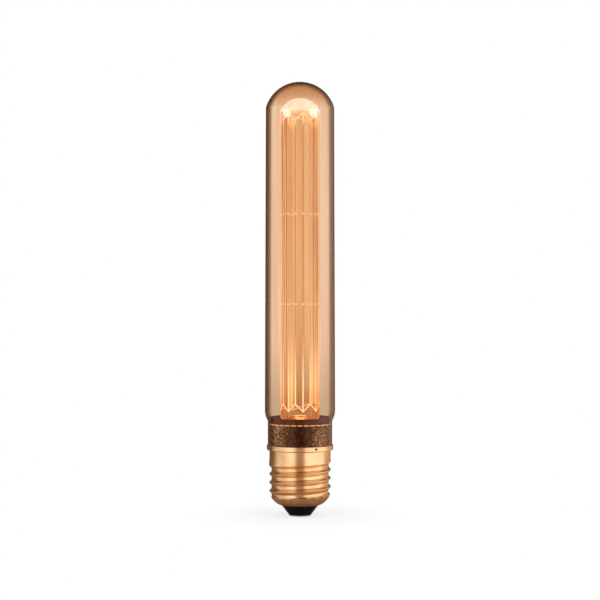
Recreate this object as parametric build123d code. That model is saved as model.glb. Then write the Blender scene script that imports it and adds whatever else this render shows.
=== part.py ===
from build123d import *
import os
from math import cos, degrees, radians, sin, sqrt

os.makedirs("parts", exist_ok=True)

# An amber tubular LED bulb, 185 mm long and 30 mm wide, with an E27 screw cap.
# Millimetres. +Z runs from the cap to the dome, and the origin is the middle of the
# contact's flat underside. The front of the bulb faces -Y.

# Running fits
FIT = 0.05  # between pieces that are pushed together
SEAM = 0.12  # bonding gap round the glass neck
WIRE_FIT = 0.25  # round a wire in its hole

# Centre contact and insulator
CONTACT_R = 4.75
CONTACT_T = 0.45
CONTACT_EDGE = 0.2
STEM_R = 1.2
STEM_H = 5.6
STEM_BORE_R = 0.6
INSULATOR_LOW_R = 4.95
INSULATOR_CONE_H = 3.98
INSULATOR_FILL = 3.0  # thickness inside the shell, above its lip

# Screw shell, one piece of rolled sheet
SHEET = 0.33
LIP_R = 7.9
BOWL_R = 7.0  # section radius of the shell's rounded lower end
THREAD_R = 13.2
PITCH = 3.629
GROOVE_DEPTH = 1.05
CREST_LAND = 0.46
THREAD_START = 2.46  # from the lip up to the groove's first centre, on the +X side
THREAD_TURNS = 4
FADE_ANGLE = 50.0  # how steeply the groove runs out
BARREL_STEP = 0.15  # the barrel's radius under the thread's
BARREL_H = 4.8  # plain part between thread and bead
BEAD_STEP = 1.0  # the bead's radius over the thread's
BEAD_H = 2.2
BEAD_LOW_EDGE = 0.5
BEAD_TOP_EDGE = 0.25
CRIMPS = 4
CRIMP_R = 0.6
CRIMP_DEPTH = 0.24
CRIMP_DROP = 0.75  # below the mouth
CRIMP_TURN = 29.0  # degrees round from the front

# Glass
TOTAL_H = 185.0
GLASS_T = 0.7
NECK_VISIBLE = 9.8  # plain neck above the mouth of the cap
TUBE_STEP = 1.25  # the tube's radius over the neck's
TUBE_TAPER = 0.4  # the tube's radius at its foot over that at its top
SHOULDER_R = 9.0
SHOULDER_FOOT_R = 1.5
DOME_STEP = 0.6  # the dome's radius over the tube's top
DOME_EDGE_R = 3.0

# Metal cup in the neck
CUP_WALL = 0.5
CUP_H = 10.4
CUP_PLATE_T = 0.9
CUP_TEETH = 30
CUP_TOOTH_H = 0.4
CUP_NOTCH_W = 0.9

# LED and its board
PAD_T = 0.2
BOARD_T = 1.0
LED_BOARD_R = 7.5
LED_R = 2.9
LED_BASE_T = 1.2
LENS_R = 2.65
LENS_STEP = 0.4
LENS_DOME = 0.75
LED_WIRE_R = 0.4
LED_WIRE_X = 4.2
LED_WIRE_END = 0.2  # how far a wire stands out of the LED board

# Foot of the rod
HOLDER_OVER_BOARD = 0.3
HOLDER_FLOOR_T = 0.5
HOLDER_RIM_H = 1.0  # rim above the floor
HOLDER_RIM_W = 0.45
HOLDER_RIM_EDGE = 0.12
HOLDER_GAP = 0.15  # to the glass
HOLDER_FOOT_W = 3.2
HOLDER_HOLE_R = 3.25

# Light guide rod
GUIDE_R = 8.375
GUIDE_L = 137.2
GUIDE_DOME_H = 6.2
GUIDE_DOME_EDGE_R = 4.2
GUIDE_FOOT_EDGE_R = 1.35
POCKET_R = 3.2
POCKET_H = 1.5
POCKET_DOME = 0.5
STRANDS = 16
STRAND_DEPTH = 0.3
STRAND_TURN = 9.0  # degrees round from the front to the first strand
WAVE_LOW = 3.8  # height of the lower zigzag's low points above the rod's foot
WAVE_H = 3.2
WAVE_TOP = 0.9  # below the dome's edge
STITCH_DEPTH = 0.36
STITCH_W = 1.3
STITCH_SHARES = (0.359, 0.638)  # of the rod's length

# Plastic liner of the cap
LINER_GAP = 0.2
LINER_T = 0.8
LINER_FLOOR_UP = 0.15  # above the insulator
LINER_EDGE = 0.8
LINER_HOLE_R = 1.6
COLLAR_T = 0.6
SPIGOT_H = 7.6  # part of the liner that stands inside the cup
SLOT_RIB = 1.6
SLOT_RIB_T = 0.8

# Driver board and what is soldered to it
DRIVER_T = 1.2
DRIVER_SIDE_GAP = 0.3
NOTCH_W = 4.0  # opening in the board's foot for the live wire
NOTCH_H = 2.6
DRIVER_TOP_GAP = 1.6  # below the cup's plate
INPUT_CAP_R = 3.15
INPUT_CAP_H = 11.0
OUTPUT_CAP_R = 2.5
OUTPUT_CAP_H = 9.0
CORE_R = 3.0
CORE_H = 8.0
CORE_RIM = 1.0
CORE_POST_R = 1.4
WINDING_R = 2.6
FILM_SIZE = (7.2, 3.4, 6.5)
BRIDGE_SIZE = (4.7, 2.5, 4.0)
CHIP_SIZE = (4.9, 1.5, 3.9)
RESISTOR_SIZE = (3.2, 0.55, 1.6)
RESISTORS = 3
RESISTOR_STEP = 2.4
FUSE_R = 1.4
FUSE_H = 7.5
LEAD_R = 0.3
FUSE_GAP = 1.5  # from the driver board to the fuse's body
MAIN_WIRE_R = 0.5

# Where the components sit: across from the board's middle line and up from its foot
BRIDGE_PLACE = (-5.0, 3.0)
CHIP_PLACE = (3.8, 17.0)
RESISTOR_PLACE = (-3.6, 20.0)
FILM_PLACE = (4.4, 12.0)
CORE_PLACE = (4.2, 2.0)
INPUT_CAP_PLACE = (-3.75, 1.0)
OUTPUT_CAP_PLACE = (-4.2, 13.2)
FUSE_UP = 3.2

# Heights and radii that follow from the sizes above
lip_z = CONTACT_T + INSULATOR_CONE_H - FIT
bowl_r = THREAD_R - BOWL_R
bowl_z = lip_z + sqrt(BOWL_R**2 - (LIP_R - bowl_r) ** 2)
groove_z = lip_z + THREAD_START
groove_top = groove_z + PITCH * THREAD_TURNS
groove_half = (PITCH - CREST_LAND) / 2
barrel_z = groove_top + groove_half + CREST_LAND / 2
barrel_r = THREAD_R - BARREL_STEP
bead_z = barrel_z + BARREL_H
mouth_z = bead_z + BEAD_H
bead_r = THREAD_R + BEAD_STEP

insulator_top = lip_z + INSULATOR_FILL
liner_z = insulator_top + LINER_FLOOR_UP
liner_r = THREAD_R - GROOVE_DEPTH - SHEET - LINER_GAP
collar_z = bead_z + SHEET
collar_r = bead_r - BEAD_LOW_EDGE
collar_top = collar_z + COLLAR_T
neck_end = collar_top + FIT
neck_top = mouth_z + NECK_VISIBLE

neck_r = bead_r - SHEET - SEAM
neck_bore = neck_r - GLASS_T
tube_low_r = neck_r + TUBE_STEP
tube_top_r = tube_low_r - TUBE_TAPER
dome_r = tube_top_r + DOME_STEP
cup_r = neck_bore - FIT
cup_bore = cup_r - CUP_WALL
cup_top = collar_top + CUP_H
plate_top = cup_top - CUP_TOOTH_H
plate_under = plate_top - CUP_PLATE_T
spigot_r = cup_bore - FIT

led_board_z = plate_top + PAD_T
led_z = led_board_z + BOARD_T
lens_z = led_z + LED_BASE_T
holder_r = neck_bore - HOLDER_GAP
holder_under = led_z + HOLDER_OVER_BOARD
holder_floor = holder_under + HOLDER_FLOOR_T
guide_z = holder_floor
guide_top = guide_z + GUIDE_L
guide_edge = guide_top - GUIDE_DOME_H

driver_z = liner_z + LINER_T
driver_top = plate_under - DRIVER_TOP_GAP
driver_half = liner_r - LINER_T - DRIVER_SIDE_GAP
face = DRIVER_T / 2


def lathe(*edges):
    """Body of revolution about Z from outline edges given as (radius, height)."""
    return revolve(make_face(Plane.XZ * (Curve() + list(edges))), Axis.Z)


def ring(inner, outer, low, high):
    """Plain ring between two radii and two heights."""
    return lathe(Polyline((inner, low), (outer, low), (outer, high), (inner, high), close=True))


def post(radius, low, high, x=0.0, y=0.0):
    """Upright cylinder."""
    base = (Align.CENTER, Align.CENTER, Align.MIN)
    return Pos(x, y, low) * Cylinder(radius, high - low, align=base)


def rod(start, end, radius):
    """Straight cylinder from one point to another."""
    line = Line(start, end)
    return sweep(Plane(start, z_dir=line % 0) * Circle(radius), path=line)


def wire(points, radius, bend):
    """Bent round wire with the same bend at each corner."""
    path = FilletPolyline(*points, radius=bend)
    return sweep(Plane(points[0], z_dir=path % 0) * Circle(radius), path=path)


def vee(angles, heights, radius, depth):
    """Square bar between two points on a cylinder, turned to cut a V-groove of one depth."""
    start, end = (Vector(*around(a, radius, h)) for a, h in zip(angles, heights))
    outward = Vector(*around(sum(angles) / 2, 1, 0))
    side = sqrt(2) * depth
    section = Plane(start, x_dir=outward, z_dir=end - start) * Rectangle(side, side, rotation=45)
    return extrude(section, (end - start).length)


def around(angle, radius, height):
    """Point at an angle in degrees, counted from the front towards +X."""
    turn = radians(angle)
    return (radius * sin(turn), -radius * cos(turn), height)


def centre_contact():
    """Flat button with a hollow stem that is pressed through the insulator."""
    button = post(CONTACT_R, 0, CONTACT_T)
    button = fillet(button.edges().sort_by(Axis.Z)[0], CONTACT_EDGE)
    stem = post(STEM_R, CONTACT_T, CONTACT_T + STEM_H)
    return button + stem - post(STEM_BORE_R, CONTACT_T, CONTACT_T + STEM_H)


def cap_insulator():
    """Moulded cone below the shell's lip, spread over the bowl inside it."""
    inner_bowl = BOWL_R - SHEET - FIT
    top_r = bowl_r + sqrt(inner_bowl**2 - (bowl_z - insulator_top) ** 2)
    low_z = bowl_z - sqrt(inner_bowl**2 - (LIP_R - bowl_r) ** 2)
    neck_r = LIP_R - FIT
    body = lathe(
        Polyline(
            (STEM_R + FIT, insulator_top),
            (STEM_R + FIT, CONTACT_T),
            (INSULATOR_LOW_R, CONTACT_T),
            (neck_r, lip_z),
            (neck_r, low_z),
            (LIP_R, low_z),
        ),
        RadiusArc((LIP_R, low_z), (top_r, insulator_top), -inner_bowl),
        Line((top_r, insulator_top), (STEM_R + FIT, insulator_top)),
    )
    return body


def shell_body(inset):
    """Solid under the shell's outer skin, or under its inner skin when inset by the sheet."""
    bowl = BOWL_R - inset
    low_z = bowl_z - sqrt(bowl**2 - (LIP_R - bowl_r) ** 2)
    thread_r = THREAD_R - inset
    barrel = barrel_r - inset
    wide_r = bead_r - inset
    low = bead_z + inset
    rise = BARREL_STEP + FIT
    bend = BEAD_LOW_EDGE - inset
    return lathe(
        RadiusArc((LIP_R, low_z), (thread_r, bowl_z), -bowl),
        Polyline((thread_r, bowl_z), (thread_r, barrel_z), (barrel, barrel_z + rise), (barrel, low)),
        Line((barrel, low), (wide_r - bend, low)),
        RadiusArc((wide_r - bend, low), (wide_r, low + bend), -bend),
        Polyline((wide_r, low + bend), (wide_r, mouth_z), (0, mouth_z), (0, low_z), (LIP_R, low_z)),
    )


def thread_groove(inset):
    """Cutters for the rolled groove: one for each turn, and one that runs out of the sheet."""
    valley = THREAD_R - GROOVE_DEPTH - inset
    over = GROOVE_DEPTH + SHEET
    flank = [
        (valley, 0.38 * groove_half),
        (valley + 0.47 * GROOVE_DEPTH, 0.72 * groove_half),
        (valley + GROOVE_DEPTH, groove_half),
        (valley + over, groove_half),
    ]
    outline = [(r, -h) for r, h in reversed(flank)] + flank
    section = Plane.XZ * make_face(Polyline(*outline, close=True))
    cutters = []
    for turn in range(THREAD_TURNS):
        start = groove_z + turn * PITCH
        helix = Helix(PITCH, PITCH, valley, center=(0, 0, start))
        cutters.append(sweep(Pos(0, 0, start) * section, path=helix, is_frenet=True))
    fade = Helix(PITCH, PITCH / 4, valley, center=(0, 0, groove_top), cone_angle=FADE_ANGLE)
    cutters.append(sweep(Pos(0, 0, groove_top) * section, path=fade, is_frenet=True))
    return cutters


def cap_shell():
    """Rolled thread, barrel and bead in one thin sheet, open at both ends."""
    outer = shell_body(0) - thread_groove(0)
    inner = shell_body(SHEET) - thread_groove(SHEET)
    shell = outer - inner - post(LIP_R, 0, bowl_z)
    reach = bead_r + CRIMP_R - CRIMP_DEPTH
    for n in range(CRIMPS):
        spot = around(CRIMP_TURN + n * 360 / CRIMPS, reach, mouth_z - CRIMP_DROP)
        shell -= Pos(*spot) * Sphere(CRIMP_R)
    rim = shell.edges().filter_by(GeomType.CIRCLE).group_by(Axis.Z)[-1].sort_by(SortBy.RADIUS)[-1]
    return fillet(rim, BEAD_TOP_EDGE)


def glass_body(inset):
    """Solid under the glass's outer skin, or under its inner skin when inset by the wall."""
    neck = neck_r - inset
    low_r = tube_low_r - inset
    top_r = tube_top_r - inset
    dome = dome_r - inset
    dome_z = TOTAL_H - dome_r
    edge = DOME_EDGE_R - inset
    convex = SHOULDER_R - inset
    concave = SHOULDER_FOOT_R + inset
    lean = 1 - (low_r - neck) / (convex + concave)
    rise = sqrt(1 - lean**2)
    turn = (neck + concave * (1 - lean), neck_top + concave * rise)
    shoulder_top = neck_top + (convex + concave) * rise
    edge_z = dome_z + sqrt((dome - edge) ** 2 - (top_r - edge) ** 2)
    share = dome / (dome - edge)
    on_dome = ((top_r - edge) * share, dome_z + (edge_z - dome_z) * share)
    return lathe(
        Polyline((0, neck_end), (neck, neck_end), (neck, neck_top)),
        RadiusArc((neck, neck_top), turn, concave),
        RadiusArc(turn, (low_r, shoulder_top), -convex),
        Line((low_r, shoulder_top), (top_r, edge_z)),
        RadiusArc((top_r, edge_z), on_dome, -edge),
        RadiusArc(on_dome, (0, dome_z + dome), -dome),
        Line((0, dome_z + dome), (0, neck_end)),
    )


def glass_envelope():
    """Blown tube of even wall, open at the neck."""
    return glass_body(0) - glass_body(GLASS_T)


def neck_cement():
    """Bonding layer between the neck and the bead of the shell."""
    return ring(neck_r, neck_r + SEAM, collar_top, mouth_z)


def heat_sink():
    """Drawn cup, upside down, with a toothed rim round its plate and two wire holes."""
    cup = ring(cup_bore, cup_r, collar_top, cup_top) + post(cup_r, plate_under, plate_top)
    notch = PolarLocations(cup_r, CUP_TEETH) * Rectangle(4 * CUP_WALL, CUP_NOTCH_W)
    cup -= Pos(0, 0, plate_top) * extrude(Sketch() + notch, CUP_TOOTH_H)
    return cup - led_wire_holes(plate_under, plate_top)


def led_wire_places():
    """Where the two LED wires run, one on each side of the axis, on the driver board's face."""
    y = face + LED_WIRE_R
    return [(LED_WIRE_X, y), (-LED_WIRE_X, y)]


def led_wire_holes(low, high):
    """Cutters for the LED wires."""
    return [post(LED_WIRE_R + WIRE_FIT, low, high, x, y) for x, y in led_wire_places()]


def thermal_pad():
    """Soft pad between the LED board and the cup."""
    return post(LED_BOARD_R, plate_top, led_board_z) - led_wire_holes(plate_top, led_board_z)


def led_board():
    """Round board with an aluminium core."""
    return post(LED_BOARD_R, led_board_z, led_z) - led_wire_holes(led_board_z, led_z)


def led_package():
    """Round base of the LED."""
    return post(LED_R, led_z, lens_z)


def led_phosphor():
    """Domed phosphor on the LED."""
    high = lens_z + LENS_STEP
    return lathe(
        Polyline((0, high + LENS_DOME), (0, lens_z), (LENS_R, lens_z), (LENS_R, high)),
        ThreePointArc(*dome_arc(LENS_R, high, LENS_DOME)),
    )


def dome_arc(radius, low, height):
    """Start, middle and end of a round arc that rises by height from a rim to the axis."""
    whole = (radius**2 + height**2) / (2 * height)
    centre = low + height - whole
    half = radius / 2
    return (radius, low), (half, centre + sqrt(whole**2 - half**2)), (0, low + height)


def guide_holder():
    """Moulded dish: a foot ring on the cup's plate, a floor over the LED board and a rim."""
    spigot = cup_bore - FIT
    rim_z = holder_floor + HOLDER_RIM_H
    step_z = cup_top + FIT
    inner = holder_r - HOLDER_RIM_W
    dish = lathe(
        Polyline(
            (HOLDER_HOLE_R, holder_under),
            (spigot - HOLDER_FOOT_W, holder_under),
            (spigot - HOLDER_FOOT_W, plate_top),
            (spigot, plate_top),
            (spigot, step_z),
            (holder_r, step_z),
            (holder_r, rim_z),
            (inner, rim_z),
            (GUIDE_R + FIT, holder_floor),
            (HOLDER_HOLE_R, holder_floor),
            close=True,
        )
    )
    rim = dish.edges().filter_by(GeomType.CIRCLE).group_by(Axis.Z)[-1]
    return chamfer(rim, HOLDER_RIM_EDGE)


def guide_blank():
    """Rod with a rounded foot, a flattened dome and a pocket over the LED."""
    foot_z = guide_z + GUIDE_FOOT_EDGE_R
    foot_r = GUIDE_R - GUIDE_FOOT_EDGE_R
    pocket = guide_z + POCKET_H
    edge = GUIDE_DOME_EDGE_R
    shoulder_r = GUIDE_R - edge
    crown = (shoulder_r**2 + GUIDE_DOME_H**2 - edge**2) / (2 * (GUIDE_DOME_H - edge))
    share = crown / (crown - edge)
    crown_z = guide_top - crown
    meet = (shoulder_r * share, crown_z + (guide_edge - crown_z) * share)
    return lathe(
        ThreePointArc(*dome_arc(POCKET_R, pocket, POCKET_DOME)),
        Polyline((POCKET_R, pocket), (POCKET_R, guide_z), (foot_r, guide_z)),
        RadiusArc((foot_r, guide_z), (GUIDE_R, foot_z), -GUIDE_FOOT_EDGE_R),
        Line((GUIDE_R, foot_z), (GUIDE_R, guide_edge)),
        RadiusArc((GUIDE_R, guide_edge), meet, -edge),
        RadiusArc(meet, (0, guide_top), -crown),
        Line((0, guide_top), (0, pocket + POCKET_DOME)),
    )


def strand_angles():
    """Angles of the engraved strands, counted from the front."""
    return [STRAND_TURN + n * 360 / STRANDS for n in range(STRANDS)]


def engraving():
    """Groups of cutters that don't meet: strands, the zigzags at their ends, and stitches."""
    low = guide_z + WAVE_LOW
    high = guide_edge - WAVE_TOP
    stitch_turn = degrees(STITCH_W / 2 / GUIDE_R)
    strands, stitches, rising, falling = [], [], [], []
    for n, angle in enumerate(strand_angles()):
        odd = n % 2
        after = angle + 360 / STRANDS
        foot = low + WAVE_H * odd
        top = high - WAVE_H * odd
        next_foot = low + WAVE_H * (1 - odd)
        next_top = high - WAVE_H * (1 - odd)
        strands.append(vee((angle, angle), (foot, top), GUIDE_R, STRAND_DEPTH))
        zigzag = falling if odd else rising
        zigzag.append(vee((angle, after), (foot, next_foot), GUIDE_R, STRAND_DEPTH))
        zigzag.append(vee((angle, after), (top, next_top), GUIDE_R, STRAND_DEPTH))
        for share in STITCH_SHARES:
            level = guide_z + share * GUIDE_L
            ends = (angle - stitch_turn, angle + stitch_turn)
            stitches.append(vee(ends, (level, level), GUIDE_R, STITCH_DEPTH))
    return strands, rising, falling, stitches


def light_guide():
    """Rod with its engraved lines."""
    guide = guide_blank()
    for group in engraving():
        guide -= group
    return guide


def driver_housing():
    """Liner: a cup in the shell, a collar on the shell's step and a spigot in the metal cup."""
    body = lathe(
        Polyline(
            (LINER_HOLE_R, liner_z),
            (liner_r - LINER_EDGE, liner_z),
            (liner_r, liner_z + LINER_EDGE),
            (liner_r, collar_z),
            (collar_r, collar_z),
            (collar_r, collar_top),
            (spigot_r, collar_top),
            (spigot_r, collar_top + SPIGOT_H),
            (spigot_r - LINER_T, collar_top + SPIGOT_H),
            (spigot_r - LINER_T, collar_z),
            (liner_r - LINER_T, collar_z - LINER_T),
            (liner_r - LINER_T, driver_z),
            (LINER_HOLE_R, driver_z),
            close=True,
        )
    )
    inner_r = liner_r - LINER_T
    inward = inner_r - SLOT_RIB
    for side in (1, -1):
        for y in (face + FIT, -face - FIT - SLOT_RIB_T):
            outer = sqrt(inner_r**2 - (abs(y) + SLOT_RIB_T) ** 2) + LINER_T / 2
            low, high = sorted((side * inward, side * outer))
            size = (high - low, SLOT_RIB_T, collar_z - LINER_T - driver_z)
            body += Pos(low, y, driver_z) * Box(*size, align=(Align.MIN,) * 3)
    exit_hole = rod(neutral_point(-liner_r - LINER_T), neutral_point(-inward + LINER_T), LEAD_R + WIRE_FIT)
    return body - exit_hole


def neutral_point(x):
    """Point on the neutral wire's axis, level with a crest of the thread on the -X side."""
    return (x, -face - LEAD_R, groove_z + 2 * PITCH)


def driver_board():
    """Upright board that stands in the liner's slots."""
    base = (Align.CENTER, Align.CENTER, Align.MIN)
    board = Box(2 * driver_half, DRIVER_T, driver_top - driver_z, align=base)
    return Pos(0, 0, driver_z) * (board - Box(NOTCH_W, DRIVER_T, NOTCH_H, align=base))


def on_board(size, place, side):
    """Block that lies on one face of the driver board: side 1 is +Y and -1 is -Y."""
    x, up = place
    y = side * (face + size[1] / 2)
    return Pos(x, y, driver_z + up) * Box(*size, align=(Align.CENTER, Align.CENTER, Align.MIN))


def can(radius, height, place):
    """Electrolytic capacitor that lies against the board's +Y face, with rolled-in groove."""
    x, z = place[0], driver_z + place[1]
    body = post(radius, z, z + height, x, face + radius)
    ends = body.edges().filter_by(GeomType.CIRCLE)
    body = fillet(ends, radius * 0.1)
    groove = Torus(radius, radius * 0.1)
    return body - Pos(x, face + radius, z + height * 0.1) * groove


def inductor_core():
    """Drum core that lies against the board's +Y face."""
    x, y, z = inductor_place()
    top = z + CORE_H
    rims = [post(CORE_R, z, z + CORE_RIM, x, y), post(CORE_R, top - CORE_RIM, top, x, y)]
    return post(CORE_POST_R, z, top, x, y) + rims


def inductor_winding():
    """Copper winding between the rims of the core."""
    x, y, z = inductor_place()
    low = z + CORE_RIM
    high = z + CORE_H - CORE_RIM
    return post(WINDING_R, low, high, x, y) - post(CORE_POST_R, low, high, x, y)


def inductor_place():
    """Foot of the inductor's axis."""
    x, up = CORE_PLACE
    return x, face + CORE_R, driver_z + up


def fuse_place():
    """Axis and foot of the fusible resistor, in front of the board's -Y face."""
    return -(face + FUSE_GAP + FUSE_R), driver_z + FUSE_UP


def fusible_resistor():
    """Fusible resistor with its upper lead bent back to the board."""
    y, z = fuse_place()
    top = z + FUSE_H
    body = post(FUSE_R, z, top, 0, y)
    body = fillet(body.edges().filter_by(GeomType.CIRCLE), FUSE_R * 0.3)
    bend = 3 * LEAD_R
    lead = wire([(0, y, top - LEAD_R), (0, y, top + 4 * LEAD_R), (0, -face, top + 4 * LEAD_R)], LEAD_R, bend)
    return body + lead


def live_wire():
    """Wire from the bore of the contact's stem to the foot of the fusible resistor."""
    y, z = fuse_place()
    low = CONTACT_T + 1.0
    route = [(0, 0, low), (0, 0, driver_z - 0.4), (0, y, z - 1.4), (0, y, z)]
    return wire(route, MAIN_WIRE_R, 1.2)


def neutral_wire():
    """Bare wire from the board's edge through the liner into a crest of the shell."""
    reach = THREAD_R - SHEET - LEAD_R
    return rod(neutral_point(-driver_half + 3.0), neutral_point(-reach), LEAD_R)


def led_wire(n):
    """Straight wire from the driver board up to the LED board."""
    x, y = led_wire_places()[n]
    return post(LED_WIRE_R, driver_top - 5.0, led_z + LED_WIRE_END, x, y)


def chip_resistors():
    """Row of chip resistors on the board's -Y face."""
    x, up = RESISTOR_PLACE
    row = [on_board(RESISTOR_SIZE, (x, up + n * RESISTOR_STEP), -1) for n in range(RESISTORS)]
    return Part() + row


parts = {
    "centre_contact": centre_contact(),
    "cap_insulator": cap_insulator(),
    "cap_shell": cap_shell(),
    "neck_cement": neck_cement(),
    "glass_envelope": glass_envelope(),
    "heat_sink": heat_sink(),
    "thermal_pad": thermal_pad(),
    "led_board": led_board(),
    "led_package": led_package(),
    "led_phosphor": led_phosphor(),
    "guide_holder": guide_holder(),
    "light_guide": light_guide(),
    "driver_housing": driver_housing(),
    "driver_board": driver_board(),
    "bridge_rectifier": on_board(BRIDGE_SIZE, BRIDGE_PLACE, -1),
    "driver_chip": on_board(CHIP_SIZE, CHIP_PLACE, -1),
    "chip_resistors": chip_resistors(),
    "input_capacitor": can(INPUT_CAP_R, INPUT_CAP_H, INPUT_CAP_PLACE),
    "output_capacitor": can(OUTPUT_CAP_R, OUTPUT_CAP_H, OUTPUT_CAP_PLACE),
    "film_capacitor": on_board(FILM_SIZE, FILM_PLACE, 1),
    "inductor_core": inductor_core(),
    "inductor_winding": inductor_winding(),
    "fusible_resistor": fusible_resistor(),
    "live_wire": live_wire(),
    "neutral_wire": neutral_wire(),
    "led_wire_positive": led_wire(0),
    "led_wire_negative": led_wire(1),
}

for name, solid in parts.items():
    export_step(solid, f"parts/{name}.step")
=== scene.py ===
"""Amber tubular bulb with a glowing rod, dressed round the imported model.

Outlines are in millimetres, as (radius, height) from the middle of the contact's underside.
Angles are counted from +X towards +Y, and the front of the bulb faces -Y.
"""

import math

import bmesh
import bpy
import numpy as np
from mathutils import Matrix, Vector
from mathutils.noise import voronoi


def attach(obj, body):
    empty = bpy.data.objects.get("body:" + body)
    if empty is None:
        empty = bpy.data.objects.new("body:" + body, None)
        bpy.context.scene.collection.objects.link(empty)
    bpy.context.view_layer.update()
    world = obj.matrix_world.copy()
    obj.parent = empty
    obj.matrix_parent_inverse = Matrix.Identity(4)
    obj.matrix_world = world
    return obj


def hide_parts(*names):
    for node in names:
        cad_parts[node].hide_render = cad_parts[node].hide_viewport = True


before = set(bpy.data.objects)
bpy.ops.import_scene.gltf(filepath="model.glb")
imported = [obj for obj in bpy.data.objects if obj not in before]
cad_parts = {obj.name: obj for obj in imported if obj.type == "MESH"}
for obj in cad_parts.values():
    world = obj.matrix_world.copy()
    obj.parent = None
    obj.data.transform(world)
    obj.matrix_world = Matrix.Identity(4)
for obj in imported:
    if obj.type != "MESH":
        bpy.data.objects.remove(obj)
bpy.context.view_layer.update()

MM = 0.001
TURN = 2 * math.pi
FRONT = math.radians(270)

# Sizes in millimetres, the same as the solids'
CONTACT_R = 4.75
CONTACT_T = 0.45
INSULATOR_LOW_R = 4.95
LIP_R = 7.9
LIP_Z = 4.38
BOWL_R = 7.0
THREAD_R = 13.2
THREAD_PITCH = 3.629
THREAD_TURNS = 4
GROOVE_DEPTH = 1.05
GROOVE_HALF = 1.5845
GROOVE_Z = 6.84
RIDGE_ROUNDING = 0.26
SHEET = 0.33
BARREL_R = 13.05
BARREL_Z = 23.17
BEAD_Z = 27.97
BEAD_R = 14.2
MOUTH_Z = 30.17
CRIMPS = 4
CRIMP_TURN = 29.0
CRIMP_DEPTH = 0.24
CRIMP_Z = 29.2
CRIMP_HALF_W = 0.75
CRIMP_HALF_H = 0.5

NECK_END = 28.95
NECK_TOP = 39.97
NECK_R = 13.75
TUBE_LOW_R = 15.0
TUBE_TOP_R = 14.6
SHOULDER_R = 9.0
SHOULDER_FOOT_R = 1.5
DOME_R = 15.2
DOME_EDGE_R = 3.0
TOTAL_H = 185.0
GLASS_T = 0.7

CUP_R = 13.0
CUP_WALL = 0.5
CUP_LOW = 28.9
CUP_TOP = 39.3
CUP_PLATE_TOP = 38.9
CUP_PLATE_T = 0.9
CUP_TEETH = 30
TOOTH_GAP = 0.32  # share of a tooth's pitch
RIM_H = 0.35
FOLD_SIZE = 1.1
FOLD_DEPTH = 0.09

HOLDER_R = 12.9
HOLDER_UNDER = 40.4
HOLDER_FLOOR = 40.9
HOLDER_RIM_Z = 41.9
HOLDER_RIM_W = 0.45
HOLDER_HOLE_R = 3.25

GUIDE_R = 8.375
GUIDE_Z = 40.9
GUIDE_TOP = 178.1
GUIDE_EDGE_Z = 171.9
GUIDE_DOME_EDGE_R = 4.2
GUIDE_FOOT_EDGE_R = 1.35
POCKET_R = 3.2
POCKET_H = 1.5
POCKET_DOME = 0.5
LIT_R = 1.75
PHOSPHOR_R = 2.65
PHOSPHOR_Z = 41.3
STRANDS = 16
STRAND_TURN = 9.0
ENGRAVING_HALF = 0.3
WAVE_LOW = 44.7
WAVE_H = 3.2
WAVE_TOP = 171.0
STITCH_HALF = 0.65
STITCH_HEIGHTS = (90.15, 128.43)

# Widths of the patterns, also in millimetres
DRAW_LINES = 3.0
RIPPLES = 26.0
STREAKS = 0.9
LACQUER_PATCHES = 5.0
ROLLING_LINES = 0.35
WRINKLES = 1.4
CUP_GRAIN = 0.9
MOTTLE = 4.0

# Heights where the colours change
SMOKE_LOW = 42.0
SMOKE_TOP = 80.0
DEEP_DOME_LOW = 174.0
DEEP_DOME_TOP = 181.0
# Height of the corner where the painted dark contour of the glass is strongest
PAINTED_SHADE_CORNER_Z = 176.5
FOOT_GLOW_LOW = 47.0
FOOT_GLOW_TOP = 80.0
HEAD_GLOW_LOW = 164.0
HEAD_GLOW_TOP = 169.0
FLANK_GLOW_LOW = 60.0
FLANK_GLOW_TOP = 120.0
# Height of the painted highlight spots under the rod's dome
PAINTED_HIGHLIGHT_Z = 171.0


# Shapes


def arc(centre, radius, start, end, steps):
    """Points of an arc in the outline's plane, angles in degrees."""
    angles = np.radians(np.linspace(start, end, steps + 1))
    return [(centre[0] + radius * math.cos(a), centre[1] + radius * math.sin(a)) for a in angles]


def run(start, end, steps):
    """Evenly spaced points from start to end, without the last one."""
    return [
        (start[0] + (end[0] - start[0]) * n / steps, start[1] + (end[1] - start[1]) * n / steps)
        for n in range(steps)
    ]


def cap_arc(radius, low, height, steps):
    """Arc that rises by height from a rim at radius to the axis."""
    whole = (radius**2 + height**2) / (2 * height)
    centre = low + height - whole
    start = math.degrees(math.atan2(low - centre, radius))
    return arc((0, centre), whole, start, 90, steps)


def add_piece(name, points, faces, node, material, crease=35):
    """Mesh object that rides on the bulb, with the given material, and stands in for node, which it
    hides.
    """
    mesh = bpy.data.meshes.new(name)
    mesh.from_pydata([tuple(p) for p in np.asarray(points) * MM], [], faces)
    form = bmesh.new()
    form.from_mesh(mesh)
    bmesh.ops.remove_doubles(form, verts=form.verts, dist=1e-7)
    bmesh.ops.recalc_face_normals(form, faces=form.faces)
    form.to_mesh(mesh)
    form.free()
    mesh.shade_smooth()
    mesh.set_sharp_from_angle(angle=math.radians(crease))
    mesh.materials.append(material)
    piece = bpy.data.objects.new(name, mesh)
    bpy.context.scene.collection.objects.link(piece)
    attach(piece, "root")
    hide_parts(node)
    return piece


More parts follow.
